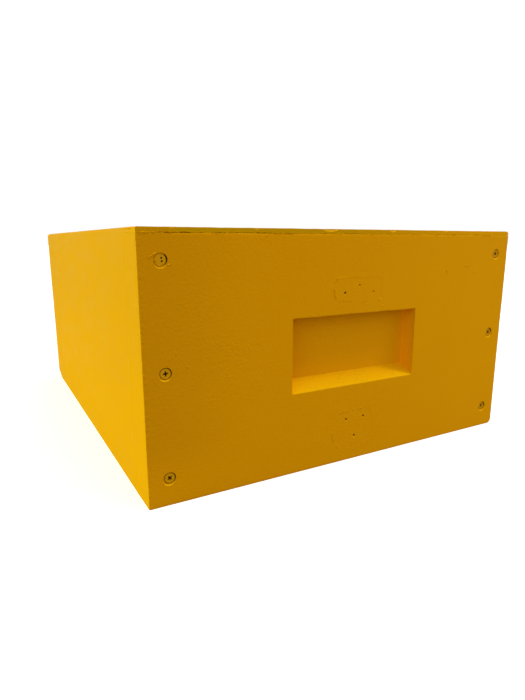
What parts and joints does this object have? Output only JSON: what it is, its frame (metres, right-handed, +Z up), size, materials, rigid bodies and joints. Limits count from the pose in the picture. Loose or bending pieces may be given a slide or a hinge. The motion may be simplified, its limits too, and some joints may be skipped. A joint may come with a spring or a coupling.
{
  "type": "polystyrene hive body",
  "caption": "Deep open-ended box of thick painted foam panels screwed at the corners, with hand pockets in both ends and lift-out wooden frames hanging on steel rests inside.",
  "frame": {"origin": "centre of the footprint, on the surface that the body stands on", "axes": "+X to the right across the front, +Y from the front to the back, +Z up"},
  "size_m": [0.455, 0.539, 0.243],
  "materials": {
    "painted_polystyrene": "satin yellow exterior paint on high-density bead foam, bare white inside",
    "painted_strip": "the same paint on a thin wooden rim strip, chipped along its edge",
    "screw_steel": "zinc-plated cross-head screws, heads painted over",
    "galvanised_steel": "dull galvanised sheet",
    "nail_steel": "galvanised flat-headed nails",
    "frame_wood": "planed pine, a little stained by use",
    "foundation": "wax-coated plastic sheet embossed with cells"
  },
  "bodies": {
    "hive_body": {"front_panel": "painted_polystyrene", "rear_panel": "painted_polystyrene", "left_side_panel": "painted_polystyrene", "right_side_panel": "painted_polystyrene", "front_top_strip": "painted_strip", "rear_top_strip": "painted_strip", "front_screws": "screw_steel", "rear_screws": "screw_steel", "front_frame_rest": "galvanised_steel", "rear_frame_rest": "galvanised_steel", "front_rest_nails": "nail_steel", "rear_rest_nails": "nail_steel"},
    "frame_01": {"frame_01_top_bar": "frame_wood", "frame_01_end_bars": "frame_wood", "frame_01_bottom_bar": "frame_wood", "frame_01_foundation": "foundation"},
    "frame_02": {"frame_02_top_bar": "frame_wood", "frame_02_end_bars": "frame_wood", "frame_02_bottom_bar": "frame_wood", "frame_02_foundation": "foundation"},
    "frame_03": {"frame_03_top_bar": "frame_wood", "frame_03_end_bars": "frame_wood", "frame_03_bottom_bar": "frame_wood", "frame_03_foundation": "foundation"},
    "frame_04": {"frame_04_top_bar": "frame_wood", "frame_04_end_bars": "frame_wood", "frame_04_bottom_bar": "frame_wood", "frame_04_foundation": "foundation"},
    "frame_05": {"frame_05_top_bar": "frame_wood", "frame_05_end_bars": "frame_wood", "frame_05_bottom_bar": "frame_wood", "frame_05_foundation": "foundation"},
    "frame_06": {"frame_06_top_bar": "frame_wood", "frame_06_end_bars": "frame_wood", "frame_06_bottom_bar": "frame_wood", "frame_06_foundation": "foundation"},
    "frame_07": {"frame_07_top_bar": "frame_wood", "frame_07_end_bars": "frame_wood", "frame_07_bottom_bar": "frame_wood", "frame_07_foundation": "foundation"},
    "frame_08": {"frame_08_top_bar": "frame_wood", "frame_08_end_bars": "frame_wood", "frame_08_bottom_bar": "frame_wood", "frame_08_foundation": "foundation"},
    "frame_09": {"frame_09_top_bar": "frame_wood", "frame_09_end_bars": "frame_wood", "frame_09_bottom_bar": "frame_wood", "frame_09_foundation": "foundation"},
    "frame_10": {"frame_10_top_bar": "frame_wood", "frame_10_end_bars": "frame_wood", "frame_10_bottom_bar": "frame_wood", "frame_10_foundation": "foundation"}
  },
  "joints": [
    {"name": "frame_01_lift", "type": "slide", "parent": "hive_body", "child": "frame_01", "axis": [0, 0, 1], "range_m": [0, 0.26]},
    {"name": "frame_02_lift", "type": "slide", "parent": "hive_body", "child": "frame_02", "axis": [0, 0, 1], "range_m": [0, 0.26]},
    {"name": "frame_03_lift", "type": "slide", "parent": "hive_body", "child": "frame_03", "axis": [0, 0, 1], "range_m": [0, 0.26]},
    {"name": "frame_04_lift", "type": "slide", "parent": "hive_body", "child": "frame_04", "axis": [0, 0, 1], "range_m": [0, 0.26]},
    {"name": "frame_05_lift", "type": "slide", "parent": "hive_body", "child": "frame_05", "axis": [0, 0, 1], "range_m": [0, 0.26]},
    {"name": "frame_06_lift", "type": "slide", "parent": "hive_body", "child": "frame_06", "axis": [0, 0, 1], "range_m": [0, 0.26]},
    {"name": "frame_07_lift", "type": "slide", "parent": "hive_body", "child": "frame_07", "axis": [0, 0, 1], "range_m": [0, 0.26]},
    {"name": "frame_08_lift", "type": "slide", "parent": "hive_body", "child": "frame_08", "axis": [0, 0, 1], "range_m": [0, 0.26]},
    {"name": "frame_09_lift", "type": "slide", "parent": "hive_body", "child": "frame_09", "axis": [0, 0, 1], "range_m": [0, 0.26]},
    {"name": "frame_10_lift", "type": "slide", "parent": "hive_body", "child": "frame_10", "axis": [0, 0, 1], "range_m": [0, 0.26]}
  ]
}
